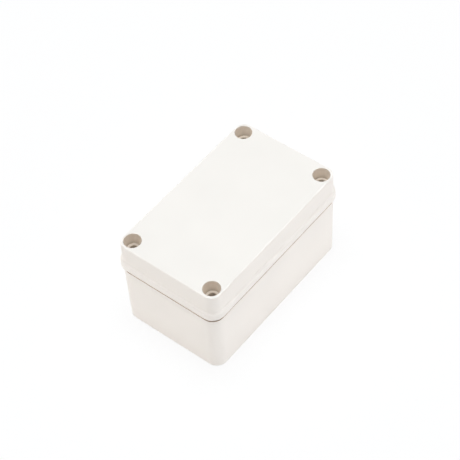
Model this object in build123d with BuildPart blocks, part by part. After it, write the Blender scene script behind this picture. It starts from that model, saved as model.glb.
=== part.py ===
from build123d import *
import os

# Sealed two-piece project box: a base, a lid with a sloping step above its rim, a gasket in the lid's
# groove and a threaded insert in each of the base's corner posts. The lid stands on the posts, and an
# open seam is left all round outside them. The length runs along X, the width along Y and +Z is up.
# The origin is under the middle of the base.

# The closed box, outside
box_length = 130.0
box_width = 80.0
box_height = 72.0
lid_height = 20.3             # from the rim's underside
parting_gap = 3.3             # open seam between the base's shoulder and the rim

# Base shell
rim_overhang = 1.35           # the lid's rim stands out this far past the base's wall
base_corner_radius = 8.2
base_wall = 2.6
base_floor = 3.0
base_draft = 0.63             # degrees, the walls lean in towards the floor
bottom_edge_radius = 1.2
floor_edge_radius = 1.5

# Corner screw posts
screw_inset_x = 9.4           # from the box's ends to the screw axes
screw_inset_y = 8.85          # from its sides
post_radius = 7.0             # rounding of the cavity wall about each screw axis
niche_radius = 2.5            # rounding beside each post, where the side walls begin

# Threaded inserts
insert_radius = 3.2
insert_length = 8.0
insert_thread_radius = 2.0
insert_clearance = 0.02
insert_chamfer = 0.4
insert_waist_depth = 0.5
insert_waist_length = 1.6
knurl_count = 16
knurl_depth = 0.25
screw_relief_radius = 2.3     # room for the screw's end below the insert
screw_relief_depth = 14.0

# Cores in the underside of the posts, which also take bracket screws
core_radius = 2.1
core_mouth_radius = 3.6
core_mouth_depth = 1.0
core_web = 4.5                # solid left in each post between its core and the room above

# Bosses for a circuit board or a plate, on the floor and under the lid
board_inset_x = 25.0          # from the box's ends to the boss axes
board_inset_y = 13.0          # from its sides
boss_radius = 3.6
boss_draft = 1.0              # degrees
boss_foot_radius = 0.6
base_boss_height = 7.0
lid_boss_height = 4.0
pilot_radius = 1.3
pilot_depth = 5.5

# Channel in the base's shoulder, sloping down from a lip to the foot of the step inside it
channel_lip = 0.3             # left flat along the shoulder's outer edge
channel_depth = 1.3

# Tongue on the base, which enters a groove in the lid
tongue_setback = 1.2          # from the base's outer face
tongue_thickness = 1.1
tongue_height = 2.0           # above the post tops, which carry the lid
tongue_edge_radius = 0.3
tongue_clearance = 0.2        # each side of the tongue in the groove

# Gasket in the roof of the groove
gasket_height = 2.0           # pressed
gasket_clearance = 0.05       # each side of the gasket in the groove
gasket_edge_radius = 0.4

# Lid shell
rim_height = 4.6
rim_lean = 0.15               # inwards over its height
rim_corner_radius = 8.9
rim_edge_radius = 0.3
step_height = 1.3             # slope from the rim's top to the foot of the wall above it
step_foot_radius = 0.8        # hollow at the foot of that wall
wall_inset = 1.58             # of that wall's foot from the rim's foot
wall_corner_radius = 6.8
lid_draft = 1.4               # degrees
lid_top_edge_radius = 0.8
lid_top = 2.8
lid_lip = 1.0                 # wall between the gasket groove and the inside
ceiling_edge_radius = 1.2

# Screw wells in the lid's corners
well_radius = 5.75            # at the mouth
well_foot_radius = 4.6
well_depth = 8.1
well_edge_radius = 0.25
screw_hole_radius = 3.0
screw_hole_chamfer = 0.35

# Places that follow from these
base_length = box_length - 2 * rim_overhang
base_width = box_width - 2 * rim_overhang
screw_spacing_x = box_length - 2 * screw_inset_x
screw_spacing_y = box_width - 2 * screw_inset_y
board_spacing_x = box_length - 2 * board_inset_x
board_spacing_y = box_width - 2 * board_inset_y
tongue_inner = tongue_setback + tongue_thickness
groove_outer = tongue_setback - tongue_clearance
groove_inner = tongue_inner + tongue_clearance
lid_inside = groove_inner + lid_lip
lid_underside = box_height - lid_height
shoulder = lid_underside - parting_gap
gasket_underside = lid_underside + tongue_height
groove_top = gasket_underside + gasket_height
rim_top = lid_underside + rim_height
wall_foot = rim_top + step_height
ceiling = box_height - lid_top
ledge = box_height - well_depth
core_depth = lid_underside - insert_length - screw_relief_depth - core_web
level_margin = 0.001          # so that rounding doesn't hide a face or edge from at_level


def sealed_plan(inset):
    """Plan of the sealed space, a cross that passes inside the posts, inset from the base's outer face."""
    reach = post_radius + inset - base_wall
    with BuildSketch() as plan:
        Rectangle(base_length - 2 * inset, screw_spacing_y - 2 * reach)
        Rectangle(screw_spacing_x - 2 * reach, base_width - 2 * inset)
        beside_posts = plan.vertices().filter_by(
            lambda v: abs(v.X) > screw_spacing_x / 2 or abs(v.Y) > screw_spacing_y / 2
        )
        fillet(beside_posts, niche_radius + base_wall - inset)
        round_posts = plan.vertices().group_by(SortBy.DISTANCE)[0]
        fillet(round_posts, reach)
    return plan.sketch


def sealed_ring(outer_inset, inner_inset):
    """Plan of a strip that follows the sealed space between two insets."""
    return sealed_plan(outer_inset) - sealed_plan(inner_inset)


def at_level(shapes, level):
    """Those of the faces or edges that lie at one level."""
    return shapes.filter_by_position(Axis.Z, level - level_margin, level + level_margin)


def base_plan(inset, level):
    """Plan of the base's outside, inset from its outer face, at one level."""
    with BuildSketch(Plane.XY.offset(level)) as plan:
        RectangleRounded(base_length - 2 * inset, base_width - 2 * inset, base_corner_radius - inset)
    return plan.sketch


def lid_outline(inset, radius, level):
    """Plan of the lid's outside, inset from the rim's foot, at one level."""
    with BuildSketch(Plane.XY.offset(level)) as plan:
        RectangleRounded(box_length - 2 * inset, box_width - 2 * inset, radius)
    return plan.sketch


def screw_axes():
    """The four screw axes."""
    return GridLocations(screw_spacing_x, screw_spacing_y, 2, 2)


def board_axes():
    """The four board boss axes."""
    return GridLocations(board_spacing_x, board_spacing_y, 2, 2)


cavity_plan = sealed_plan(base_wall)
tongue_plan = sealed_ring(tongue_setback, tongue_inner)
groove_plan = sealed_ring(groove_outer, groove_inner)
gasket_plan = sealed_ring(groove_outer + gasket_clearance, groove_inner - gasket_clearance)
lid_plan = sealed_plan(lid_inside)
channel_foot = base_plan(tongue_setback, shoulder - channel_depth)
channel_mouth = base_plan(channel_lip, shoulder)
rim_foot_plan = lid_outline(0, rim_corner_radius, lid_underside)
rim_top_plan = lid_outline(rim_lean, rim_corner_radius - rim_lean, rim_top)
wall_plan = lid_outline(wall_inset, wall_corner_radius, wall_foot)

# Base
with BuildPart() as base:
    # Outer walls, drafted from the shoulder down to a rounded bottom edge
    extrude(base_plan(0, 0), amount=shoulder)
    walls = base.faces().filter_by(Axis.Z, reverse=True)
    draft(walls, Plane.XY.offset(shoulder), -base_draft)
    fillet(base.faces().sort_by(Axis.Z)[0].edges(), bottom_edge_radius)

    # Channel down from the shoulder's lip, and the step up from it to the level of the post tops
    loft([channel_foot, channel_mouth], mode=Mode.SUBTRACT)
    extrude(channel_foot, amount=channel_depth + parting_gap)

    # Inside, with the same draft
    with BuildSketch(Plane.XY.offset(base_floor)):
        add(cavity_plan)
    extrude(amount=lid_underside - base_floor, mode=Mode.SUBTRACT)
    walls = base.faces(Select.LAST).filter_by(Axis.Z, reverse=True)
    draft(walls, Plane.XY.offset(lid_underside), base_draft)
    floor = at_level(base.faces(), base_floor)[0]
    fillet(floor.edges(), floor_edge_radius)

    # Tongue round the opening
    with BuildSketch(Plane.XY.offset(lid_underside)):
        add(tongue_plan)
    extrude(amount=tongue_height)
    fillet(base.faces().sort_by(Axis.Z)[-1].edges(), tongue_edge_radius)

    # Insert seats in the post tops, with room below for the screws' ends
    with Locations((0, 0, lid_underside)), screw_axes():
        CounterBoreHole(
            radius=screw_relief_radius,
            counter_bore_radius=insert_radius + insert_clearance,
            counter_bore_depth=insert_length,
            depth=insert_length + screw_relief_depth,
        )

    # Cores up into the posts from the underside
    with Locations(Location((0, 0, 0), (180, 0, 0))), screw_axes():
        CounterBoreHole(
            radius=core_radius,
            counter_bore_radius=core_mouth_radius,
            counter_bore_depth=core_mouth_depth,
            depth=core_depth,
        )

    # Bosses on the floor
    with BuildSketch(Plane.XY.offset(base_floor)):
        with board_axes():
            Circle(boss_radius)
    extrude(amount=base_boss_height, taper=boss_draft)
    floor = at_level(base.faces(), base_floor)[0]
    fillet(floor.inner_wires().edges(), boss_foot_radius)
    with Locations((0, 0, base_floor + base_boss_height)), board_axes():
        Hole(pilot_radius, depth=pilot_depth)

base.part.label = "base"

# Lid
with BuildPart() as lid:
    # Rim, sloping step and the wall above it, all leaning in
    loft([rim_foot_plan, rim_top_plan])
    loft([rim_top_plan, wall_plan])
    extrude(wall_plan, amount=box_height - wall_foot, taper=lid_draft)
    fillet(lid.faces().sort_by(Axis.Z)[-1].edges(), lid_top_edge_radius)
    fillet(at_level(lid.edges(), wall_foot), step_foot_radius)
    fillet(at_level(lid.edges(), rim_top), rim_edge_radius)

    # Inside, narrowing towards the ceiling
    with BuildSketch(Plane.XY.offset(lid_underside)):
        add(lid_plan)
    extrude(amount=ceiling - lid_underside, taper=lid_draft, mode=Mode.SUBTRACT)
    roof = at_level(lid.faces(), ceiling)[0]
    fillet(roof.edges(), ceiling_edge_radius)

    # Groove for the tongue and the gasket
    with BuildSketch(Plane.XY.offset(lid_underside)):
        add(groove_plan)
    extrude(amount=groove_top - lid_underside, mode=Mode.SUBTRACT)

    # Tapering screw wells, each with a ledge for the screw's head and a hole through
    with Locations((0, 0, box_height)), screw_axes():
        Cone(
            well_foot_radius,
            well_radius,
            well_depth,
            align=(Align.CENTER, Align.CENTER, Align.MAX),
            mode=Mode.SUBTRACT,
        )
    with Locations((0, 0, ledge)), screw_axes():
        Hole(screw_hole_radius, depth=ledge - lid_underside)
    mouths = lid.faces().sort_by(Axis.Z)[-1].inner_wires().edges()
    fillet(mouths, well_edge_radius)
    ledge_circles = at_level(lid.edges().filter_by(GeomType.CIRCLE), ledge)
    chamfer(ledge_circles.group_by(SortBy.RADIUS)[0], screw_hole_chamfer)

    # Bosses under the ceiling
    with BuildSketch(Plane.XY.offset(ceiling)):
        with board_axes():
            Circle(boss_radius)
    extrude(amount=-lid_boss_height, taper=boss_draft)
    with Locations(Location((0, 0, ceiling - lid_boss_height), (180, 0, 0))), board_axes():
        Hole(pilot_radius, depth=lid_boss_height)

lid.part.label = "lid"

# Gasket
with BuildPart() as gasket:
    with BuildSketch(Plane.XY.offset(gasket_underside)):
        add(gasket_plan)
    extrude(amount=gasket_height)
    fillet(gasket.faces().sort_by(Axis.Z)[0].edges(), gasket_edge_radius)

gasket.part.label = "gasket"

# Threaded insert: a knurled brass sleeve with a waist, upright with its top at the origin
with BuildPart() as insert:
    with BuildSketch(Plane.XZ):
        with BuildLine():
            Polyline(
                (insert_thread_radius, 0),
                (insert_radius, 0),
                (insert_radius, -insert_length),
                (insert_thread_radius, -insert_length),
                close=True,
            )
        make_face()
        with Locations((insert_radius, -insert_length / 2)):
            Rectangle(2 * insert_waist_depth, insert_waist_length, mode=Mode.SUBTRACT)
    revolve(axis=Axis.Z)
    with BuildSketch(Plane.XY.offset(-insert_length)):
        with PolarLocations(insert_radius, knurl_count):
            Rectangle(2 * knurl_depth, 2 * knurl_depth, rotation=45)
    extrude(amount=insert_length, mode=Mode.SUBTRACT)
    thread_ends = insert.edges().filter_by(GeomType.CIRCLE).sort_by(SortBy.RADIUS)[:2]
    chamfer(thread_ends, insert_chamfer)

corners = {"front_left": (-1, -1), "front_right": (1, -1), "rear_left": (-1, 1), "rear_right": (1, 1)}
inserts = []
for corner, (x_side, y_side) in corners.items():
    seat = Location((x_side * screw_spacing_x / 2, y_side * screw_spacing_y / 2, lid_underside))
    placed = insert.part.moved(seat)
    placed.label = f"insert_{corner}"
    inserts.append(placed)

os.makedirs("parts", exist_ok=True)
export_step(base.part, "parts/base.step")
export_step(lid.part, "parts/lid.step")
export_step(gasket.part, "parts/gasket.step")
for placed in inserts:
    export_step(placed, f"parts/{placed.label}.step")
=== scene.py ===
import bpy
import math
from mathutils import Matrix, Vector


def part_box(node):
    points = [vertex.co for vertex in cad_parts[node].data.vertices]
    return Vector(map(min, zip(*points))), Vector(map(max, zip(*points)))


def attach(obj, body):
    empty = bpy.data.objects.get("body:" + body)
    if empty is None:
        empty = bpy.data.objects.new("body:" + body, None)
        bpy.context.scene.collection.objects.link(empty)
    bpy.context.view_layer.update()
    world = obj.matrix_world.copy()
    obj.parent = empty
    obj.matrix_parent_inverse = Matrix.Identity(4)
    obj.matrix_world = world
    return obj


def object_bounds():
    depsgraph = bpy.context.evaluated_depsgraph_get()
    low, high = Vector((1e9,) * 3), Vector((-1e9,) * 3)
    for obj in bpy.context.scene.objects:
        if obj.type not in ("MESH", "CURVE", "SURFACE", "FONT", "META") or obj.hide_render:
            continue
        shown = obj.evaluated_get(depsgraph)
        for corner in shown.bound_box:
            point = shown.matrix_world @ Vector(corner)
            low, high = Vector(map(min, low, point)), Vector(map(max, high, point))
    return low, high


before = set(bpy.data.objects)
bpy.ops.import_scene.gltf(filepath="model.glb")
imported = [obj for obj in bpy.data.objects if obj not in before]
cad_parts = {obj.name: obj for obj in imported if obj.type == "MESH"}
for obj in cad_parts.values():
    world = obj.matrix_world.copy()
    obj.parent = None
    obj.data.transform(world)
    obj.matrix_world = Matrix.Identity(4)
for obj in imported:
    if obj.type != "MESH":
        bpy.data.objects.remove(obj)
cad_low, cad_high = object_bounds()

MM = 0.001

# The photograph's camera: a long lens that looks down on one corner of the box
CAMERA_AZIMUTH = -48.58       # degrees
CAMERA_ELEVATION = 50.74      # degrees
CAMERA_ROLL = -4.22           # degrees
CAMERA_DISTANCE = 1007.8 * MM
CAMERA_POINT = (0.0, 0.0, 35.0 * MM)
CAMERA_RIGHT = -0.60 * MM     # the aim's offset from that point, in the picture's plane
CAMERA_UP = 9.17 * MM
CAMERA_NEAR = 0.05            # the nearest and the farthest that it sees, in metres
CAMERA_FAR = 20.0
SENSOR_WIDTH = 36.0
LENS = 123.1

# Light: a large soft lamp overhead, low wide lamps to the left, right and back, and a faint surround.
# Places and sizes are in metres.
SURROUND_STRENGTH = 0.14
SURROUND_COLOUR = (1.0, 0.95, 0.90)
KEY_PLACE = (0.03, 0.03, 1.60)
KEY_SIZE = (1.3, 1.3)
KEY_WATTS = 25.1
KEY_COLOUR = (0.957, 1.0, 1.035)
LEFT_PLACE = (-1.38, 0.72, 0.16)
LEFT_SIZE = (1.4, 0.24)
LEFT_WATTS = 8.1
LEFT_COLOUR = (1.075, 1.0, 0.960)
RIGHT_PLACE = (0.42, -1.5, 0.16)
RIGHT_SIZE = (1.4, 0.24)
RIGHT_WATTS = 9.55
RIGHT_COLOUR = (1.030, 1.0, 1.010)
BACK_PLACE = (0.90, 1.32, 0.16)
BACK_SIZE = (1.6, 0.24)
BACK_WATTS = 7.2
BACK_COLOUR = (1.040, 1.0, 0.990)

# Floor
FLOOR_WHITENESS = 0.85        # share of plain white in what is seen of it
FLOOR_LEVEL = -0.05 * MM      # a hair below the underside, so that the two don't share a plane
FLOOR_REACH = 3.0             # metres each way
FLOOR_ROUGHNESS = 0.9

# Colours, linear
ABS_COLOUR = (0.900, 0.862, 0.812)
RUBBER_COLOUR = (0.020, 0.020, 0.021)
BRASS_COLOUR = (0.780, 0.560, 0.270)
FLOOR_COLOUR = (0.960, 0.960, 0.960)
WELL_SHADE_TINT = (1.090, 1.020, 0.948)     # painted warm shade on the plastic in the screw wells
WELL_LEDGE_SHADE_TINT = (0.640, 0.630, 0.615)     # painted shade, growing towards their ledges
SEAM_SHADE_TINT = (0.520, 0.340, 0.210)     # painted shade on what faces up in the open seam

# Where those tints lie
SCREW_AXIS_X = 55.60 * MM
SCREW_AXIS_Y = 31.15 * MM
WELL_REACH = 5.95 * MM
WELL_MOUTH = 72.0 * MM
WELL_FOOT = 64.2 * MM
WELL_FADE = 0.6 * MM          # from the mouth down
SEAM_LOW = 47.0 * MM
SEAM_HIGH = 48.6 * MM
TINT_EDGE = 0.1 * MM
LEDGE_SHADE_POWER = 4.0              # higher keeps the painted shade nearer the ledges
SEAM_SHADE_FROM = 0.2               # upward part of a face's normal where the painted seam shade starts
SEAM_SHADE_FULL = 0.4

# Moulded plastic, textures in grains to the metre
FLOW_SCALE = 28.0
FLOW_SHADES = (0.985, 1.012)
GRAIN_SCALE = 3600.0
GRAIN_ROUGHNESS = 0.6
GRAIN_STRENGTH = 0.10
GRAIN_DEPTH = 0.05 * MM
PLASTIC_ROUGHNESS = (0.40, 0.48)
PLASTIC_SPECULAR = 0.18

# Foam rubber
PORE_SCALE = 4200.0
PORE_SHADES = (0.6, 1.6)
PORE_STRENGTH = 0.4
PORE_DEPTH = 0.06 * MM
RUBBER_ROUGHNESS = 0.85
RUBBER_SPECULAR = 0.2

# Turned brass
TURNING_SCALE = 2600.0
TURNING_DISTORTION = 1.5
TURNING_STRENGTH = 0.25
TURNING_DEPTH = 0.03 * MM
TARNISH_SCALE = 900.0
TARNISH_SHADES = (0.80, 1.10)
BRASS_ROUGHNESS = (0.24, 0.40)

# A noise's middle range, which most of it lies in
NOISE_LOW = 0.3
NOISE_HIGH = 0.7

# Insert threads, for 4 mm screws
THREAD_OUTER = 2.0 * MM
THREAD_CORE = 1.66 * MM
THREAD_PITCH = 0.7 * MM
THREAD_START = 0.75 * MM      # below the insert's top
THREAD_TURNS = 9.0
THREAD_STEPS = 36             # to a turn
THREAD_FOOT = 0.42            # half a ridge's width at its foot, in pitches
THREAD_CREST = 0.06           # and at its crest
THREAD_POINTS = 4             # across a ridge


def new_material(name):
    """An empty node material with its principled shader, ready to be linked."""
    material = bpy.data.materials.new(name)
    material.use_nodes = True
    nodes = material.node_tree.nodes
    return material, nodes, material.node_tree.links, nodes["Principled BSDF"]


def noise(nodes, links, vector, scale, detail=3.0, roughness=0.5):
    """A noise texture on a vector, with so many grains to the metre."""
    texture = nodes.new("ShaderNodeTexNoise")
    texture.inputs["Scale"].default_value = scale
    texture.inputs["Detail"].default_value = detail
    texture.inputs["Roughness"].default_value = roughness
    links.new(vector, texture.inputs["Vector"])
    return texture.outputs["Fac"]


def spread(nodes, links, value, low, high):
    """Maps a noise's middle range to low..high."""
    mapped = nodes.new("ShaderNodeMapRange")
    mapped.inputs["From Min"].default_value = NOISE_LOW
    mapped.inputs["From Max"].default_value = NOISE_HIGH
    mapped.inputs["To Min"].default_value = low
    mapped.inputs["To Max"].default_value = high
    links.new(value, mapped.inputs["Value"])
    return mapped.outputs["Result"]


def shade(colour, factor):
    """A colour made lighter or darker."""
    return tuple(min(1.0, part * factor) for part in colour) + (1.0,)


def shaded(nodes, links, colour, shades, amount):
    """A colour that goes from the first of its two shades to the second, as amount says."""
    blend = nodes.new("ShaderNodeMix")
    blend.data_type = "RGBA"
    blend.inputs["A"].default_value = shade(colour, shades[0])
    blend.inputs["B"].default_value = shade(colour, shades[1])
    links.new(amount, blend.inputs["Factor"])
    return blend.outputs["Result"]


def relief(nodes, links, shader, height, strength, depth):
    """Gives a shader the fine relief of a texture."""
    bump = nodes.new("ShaderNodeBump")
    bump.inputs["Strength"].default_value = strength
    bump.inputs["Distance"].default_value = depth
    links.new(height, bump.inputs["Height"])
    links.new(bump.outputs["Normal"], shader.inputs["Normal"])


def calculate(nodes, links, operation, first, second=None):
    """One step of arithmetic on sockets and numbers."""
    step = nodes.new("ShaderNodeMath")
    step.operation = operation
    for socket, value in zip(step.inputs, (first, second)):
        if isinstance(value, (int, float)):
            socket.default_value = value
        elif value is not None:
            links.new(value, socket)
    return step.outputs["Value"]


def ramp(nodes, links, value, none_at, full_at):
    """0 to 1 as a value goes from one number to another."""
    mapped = nodes.new("ShaderNodeMapRange")
    mapped.inputs["From Min"].default_value = none_at
    mapped.inputs["From Max"].default_value = full_at
    links.new(value, mapped.inputs["Value"])
    return mapped.outputs["Result"]


def tinted(nodes, links, colour, tint, amount):
    """A colour socket multiplied by a tint, as far as amount says."""
    blend = nodes.new("ShaderNodeMix")
    blend.data_type = "RGBA"
    blend.blend_type = "MULTIPLY"
    blend.inputs["B"].default_value = tint + (1.0,)
    links.new(colour, blend.inputs["A"])
    links.new(amount, blend.inputs["Factor"])
    return blend.outputs["Result"]


def in_wells(nodes, links, place):
    """1 in the lid's screw wells and 0 outside them, with the height as a second value."""
    axes = nodes.new("ShaderNodeSeparateXYZ")
    links.new(place, axes.inputs["Vector"])
    squares = []
    for part, centre in ((axes.outputs["X"], SCREW_AXIS_X), (axes.outputs["Y"], SCREW_AXIS_Y)):
        size = calculate(nodes, links, "ABSOLUTE", part)
        offset = calculate(nodes, links, "SUBTRACT", size, centre)
        squares.append(calculate(nodes, links, "MULTIPLY", offset, offset))
    reach = calculate(nodes, links, "SQRT", calculate(nodes, links, "ADD", *squares))
    near = ramp(nodes, links, reach, WELL_REACH + TINT_EDGE, WELL_REACH)
    below = ramp(nodes, links, axes.outputs["Z"], WELL_MOUTH, WELL_MOUTH - WELL_FADE)
    return calculate(nodes, links, "MULTIPLY", near, below), axes.outputs["Z"]


def well_colour(nodes, links, place, colour):
    """The lid's colour with painted shade in the screw wells: a warm tint, and darkening that grows
    towards their ledges.
    """
    inside, height = in_wells(nodes, links, place)
    # painted warm shade all through the wells
    colour = tinted(nodes, links, colour, WELL_SHADE_TINT, inside)
    # painted shade, darker the deeper down the well
    deep = ramp(nodes, links, height, WELL_MOUTH, WELL_FOOT)
    low_down = calculate(nodes, links, "POWER", deep, LEDGE_SHADE_POWER)
    ledge_shading = calculate(nodes, links, "MULTIPLY", inside, low_down)
    return tinted(nodes, links, colour, WELL_LEDGE_SHADE_TINT, ledge_shading)


def seam_colour(nodes, links, place, colour):
    """The base's colour, with painted shade on what faces up in the open seam under the lid's rim."""
    axes = nodes.new("ShaderNodeSeparateXYZ")
    links.new(place, axes.inputs["Vector"])
    facing = nodes.new("ShaderNodeSeparateXYZ")
    links.new(nodes.new("ShaderNodeTexCoord").outputs["Normal"], facing.inputs["Vector"])
    upward = ramp(nodes, links, facing.outputs["Z"], SEAM_SHADE_FROM, SEAM_SHADE_FULL)
    above = ramp(nodes, links, axes.outputs["Z"], SEAM_LOW, SEAM_LOW + TINT_EDGE)
    below = ramp(nodes, links, axes.outputs["Z"], SEAM_HIGH, SEAM_HIGH - TINT_EDGE)
    within = calculate(nodes, links, "MULTIPLY", above, below)
    # painted shade in the seam, on upward faces only
    seam_shading = calculate(nodes, links, "MULTIPLY", upward, within)
    return tinted(nodes, links, colour, SEAM_SHADE_TINT, seam_shading)


def moulded_plastic(name, colour, add_painted_shade):
    """Moulded ABS with the fine spark-eroded grain of its tool, faint flow marks and its own painted
    shade.
    """
    material, nodes, links, shader = new_material(name)
    place = nodes.new("ShaderNodeTexCoord").outputs["Object"]

    flow = noise(nodes, links, place, FLOW_SCALE, detail=2.0)
    clean = shaded(nodes, links, colour, FLOW_SHADES, spread(nodes, links, flow, 0.0, 1.0))
    # the painted shade of the wells or the seam goes on the flow-marked colour
    links.new(add_painted_shade(nodes, links, place, clean), shader.inputs["Base Color"])
    links.new(spread(nodes, links, flow, *PLASTIC_ROUGHNESS), shader.inputs["Roughness"])

    grain = noise(nodes, links, place, GRAIN_SCALE, detail=2.0, roughness=GRAIN_ROUGHNESS)
    relief(nodes, links, shader, grain, GRAIN_STRENGTH, GRAIN_DEPTH)
    shader.inputs["Specular IOR Level"].default_value = PLASTIC_SPECULAR
    return material


def foam_rubber(name, colour):
    """Closed-cell rubber with fine pores."""
    material, nodes, links, shader = new_material(name)
    place = nodes.new("ShaderNodeTexCoord").outputs["Object"]
    pores = nodes.new("ShaderNodeTexVoronoi")
    pores.inputs["Scale"].default_value = PORE_SCALE
    links.new(place, pores.inputs["Vector"])
    depth = pores.outputs["Distance"]
    links.new(shaded(nodes, links, colour, PORE_SHADES, depth), shader.inputs["Base Color"])
    relief(nodes, links, shader, depth, PORE_STRENGTH, PORE_DEPTH)
    shader.inputs["Roughness"].default_value = RUBBER_ROUGHNESS
    shader.inputs["Specular IOR Level"].default_value = RUBBER_SPECULAR
    return material


def turned_brass(name, colour):
    """Machined brass with turning marks round the insert and a little tarnish."""
    material, nodes, links, shader = new_material(name)
    place = nodes.new("ShaderNodeTexCoord").outputs["Object"]
    turning = nodes.new("ShaderNodeTexWave")
    turning.wave_type = "BANDS"
    turning.bands_direction = "Z"
    turning.inputs["Scale"].default_value = TURNING_SCALE
    turning.inputs["Distortion"].default_value = TURNING_DISTORTION
    links.new(place, turning.inputs["Vector"])
    tarnish = noise(nodes, links, place, TARNISH_SCALE)
    links.new(shaded(nodes, links, colour, TARNISH_SHADES, tarnish), shader.inputs["Base Color"])
    links.new(spread(nodes, links, tarnish, *BRASS_ROUGHNESS), shader.inputs["Roughness"])
    relief(nodes, links, shader, turning.outputs["Fac"], TURNING_STRENGTH, TURNING_DEPTH)
    shader.inputs["Metallic"].default_value = 1.0
    return material


def add_threads(material):
    """A ridge that winds down inside each insert, which has a plain bore in the CAD model."""
    vertices = []
    faces = []
    steps = round(THREAD_TURNS * THREAD_STEPS)
    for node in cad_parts:
        if not node.startswith("insert_"):
            continue
        low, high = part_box(node)
        centre_x = (low[0] + high[0]) / 2
        centre_y = (low[1] + high[1]) / 2
        first = len(vertices)
        for step in range(steps + 1):
            angle = math.tau * step / THREAD_STEPS
            height = high[2] - THREAD_START - THREAD_PITCH * step / THREAD_STEPS
            fade = min(1.0, step / THREAD_STEPS, (steps - step) / THREAD_STEPS)
            crest = THREAD_OUTER - (THREAD_OUTER - THREAD_CORE) * fade
            profile = (
                (THREAD_OUTER, THREAD_FOOT),
                (crest, THREAD_CREST),
                (crest, -THREAD_CREST),
                (THREAD_OUTER, -THREAD_FOOT),
            )
            for radius, shift in profile:
                vertices.append((
                    centre_x + radius * math.cos(angle),
                    centre_y + radius * math.sin(angle),
                    height + shift * THREAD_PITCH,
                ))
        for step in range(steps):
            for side in range(THREAD_POINTS - 1):
                corner = first + THREAD_POINTS * step + side
                onward = corner + THREAD_POINTS
                faces.append((corner, corner + 1, onward + 1, onward))
    mesh = bpy.data.meshes.new("insert_threads")
    mesh.from_pydata(vertices, [], faces)
    mesh.materials.append(material)
    threads = bpy.data.objects.new("insert_threads", mesh)
    bpy.context.scene.collection.objects.link(threads)
    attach(threads, "base")


def dress(node, material):
    """Gives a carried-over CAD node one material all over."""
    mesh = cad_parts[node].data
    mesh.materials.clear()
    mesh.materials.append(material)


def dress_nodes():
    """Gives every CAD node its material, and the inserts their threads."""
    dress("base", moulded_plastic("moulded_base", ABS_COLOUR, seam_colour))
    dress("lid", moulded_plastic("moulded_lid", ABS_COLOUR, well_colour))
    dress("gasket", foam_rubber("foam_rubber", RUBBER_COLOUR))
    brass = turned_brass("turned_brass", BRASS_COLOUR)
    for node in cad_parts:
        if node.startswith("insert_"):
            dress(node, brass)
    add_threads(brass)


def seen(nodes, links):
    """1 for what shows, straight, in a gloss or through glass, and 0 for what lights the box."""
    path = nodes.new("ShaderNodeLightPath")
    ray = path.outputs["Is Camera Ray"]
    for other in ("Is Glossy Ray", "Is Transmission Ray"):
        ray = calculate(nodes, links, "MAXIMUM", ray, path.outputs[other])
    return ray


def make_floor():
    """A plain white floor, large enough to fill the picture, that keeps the box's shadow."""
    around = ((-1, -1), (1, -1), (1, 1), (-1, 1))
    corners = [(x * FLOOR_REACH, y * FLOOR_REACH, FLOOR_LEVEL) for x, y in around]
    mesh = bpy.data.meshes.new("floor")
    mesh.from_pydata(corners, [], [(0, 1, 2, 3)])
    floor = bpy.data.objects.new("floor", mesh)
    bpy.context.scene.collection.objects.link(floor)
    material, nodes, links, shader = new_material("pale_floor")
    shader.inputs["Base Color"].default_value = FLOOR_COLOUR + (1.0,)
    shader.inputs["Roughness"].default_value = FLOOR_ROUGHNESS
    shader.inputs["Specular IOR Level"].default_value = 0.0

    # What shows of it is mostly plain white. To the box it is a plain floor under the lamps.
    white = nodes.new("ShaderNodeEmission")
    white.inputs["Strength"].default_value = 1.0
    share = calculate(nodes, links, "MULTIPLY", seen(nodes, links), FLOOR_WHITENESS)
    blend = nodes.new("ShaderNodeMixShader")
    links.new(share, blend.inputs["Fac"])
    links.new(shader.outputs["BSDF"], blend.inputs[1])
    links.new(white.outputs["Emission"], blend.inputs[2])
    links.new(blend.outputs["Shader"], nodes["Material Output"].inputs["Surface"])
    mesh.materials.append(material)


def add_lamp(name, place, size, watts, colour, glossy=False):
    """A soft lamp, so wide and high, that faces the middle of the box and may show in a gloss."""
    light = bpy.data.lights.new(name, "AREA")
    light.shape = "RECTANGLE"
    light.size, light.size_y = size
    light.energy = watts
    light.color = colour
    lamp = bpy.data.objects.new(name, light)
    lamp.visible_glossy = glossy
    lamp.location = place
    lamp.rotation_mode = "QUATERNION"
    middle = (cad_low + cad_high) / 2
    lamp.rotation_quaternion = (middle - Vector(place)).to_track_quat("-Z", "Y")
    bpy.context.scene.collection.objects.link(lamp)


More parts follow.
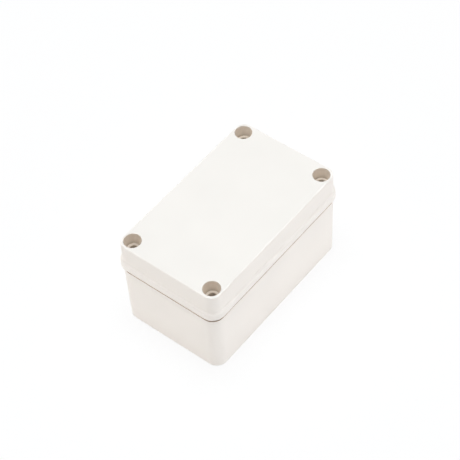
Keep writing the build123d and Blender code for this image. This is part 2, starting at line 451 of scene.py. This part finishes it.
def light_scene():
    """Soft studio light from four large lamps and the surround, which itself shows plain white."""
    world = bpy.data.worlds.new("studio")
    world.use_nodes = True
    nodes = world.node_tree.nodes
    links = world.node_tree.links
    surround = nodes["Background"]
    surround.inputs["Color"].default_value = SURROUND_COLOUR + (1.0,)
    surround.inputs["Strength"].default_value = SURROUND_STRENGTH
    white = nodes.new("ShaderNodeBackground")
    white.inputs["Color"].default_value = (1.0, 1.0, 1.0, 1.0)
    blend = nodes.new("ShaderNodeMixShader")
    links.new(seen(nodes, links), blend.inputs["Fac"])
    links.new(surround.outputs["Background"], blend.inputs[1])
    links.new(white.outputs["Background"], blend.inputs[2])
    links.new(blend.outputs["Shader"], nodes["World Output"].inputs["Surface"])
    bpy.context.scene.world = world
    add_lamp("key", KEY_PLACE, KEY_SIZE, KEY_WATTS, KEY_COLOUR, glossy=True)
    add_lamp("left", LEFT_PLACE, LEFT_SIZE, LEFT_WATTS, LEFT_COLOUR)
    add_lamp("right", RIGHT_PLACE, RIGHT_SIZE, RIGHT_WATTS, RIGHT_COLOUR)
    add_lamp("back", BACK_PLACE, BACK_SIZE, BACK_WATTS, BACK_COLOUR)


def make_camera():
    """The photograph's camera, turned and rolled about its line of sight."""
    azimuth = math.radians(-CAMERA_AZIMUTH)
    elevation = math.radians(CAMERA_ELEVATION)
    roll = math.radians(CAMERA_ROLL)
    forward = Vector((
        math.sin(azimuth) * math.cos(elevation),
        math.cos(azimuth) * math.cos(elevation),
        -math.sin(elevation),
    ))
    level = Vector((math.cos(azimuth), -math.sin(azimuth), 0.0))
    upward = level.cross(forward)
    right = level * math.cos(roll) + upward * math.sin(roll)
    up = upward * math.cos(roll) - level * math.sin(roll)
    camera = bpy.data.objects.new("camera", bpy.data.cameras.new("camera"))
    camera.data.sensor_width = SENSOR_WIDTH
    camera.data.lens = LENS
    camera.data.clip_start = CAMERA_NEAR
    camera.data.clip_end = CAMERA_FAR
    place = Vector(CAMERA_POINT) - forward * CAMERA_DISTANCE + right * CAMERA_RIGHT + up * CAMERA_UP
    turn = Matrix((right, up, -forward)).transposed()
    camera.matrix_world = Matrix.Translation(place) @ turn.to_4x4()
    bpy.context.scene.collection.objects.link(camera)
    bpy.context.scene.camera = camera


dress_nodes()
make_floor()
light_scene()
make_camera()
bpy.context.scene.view_settings.view_transform = "Standard"
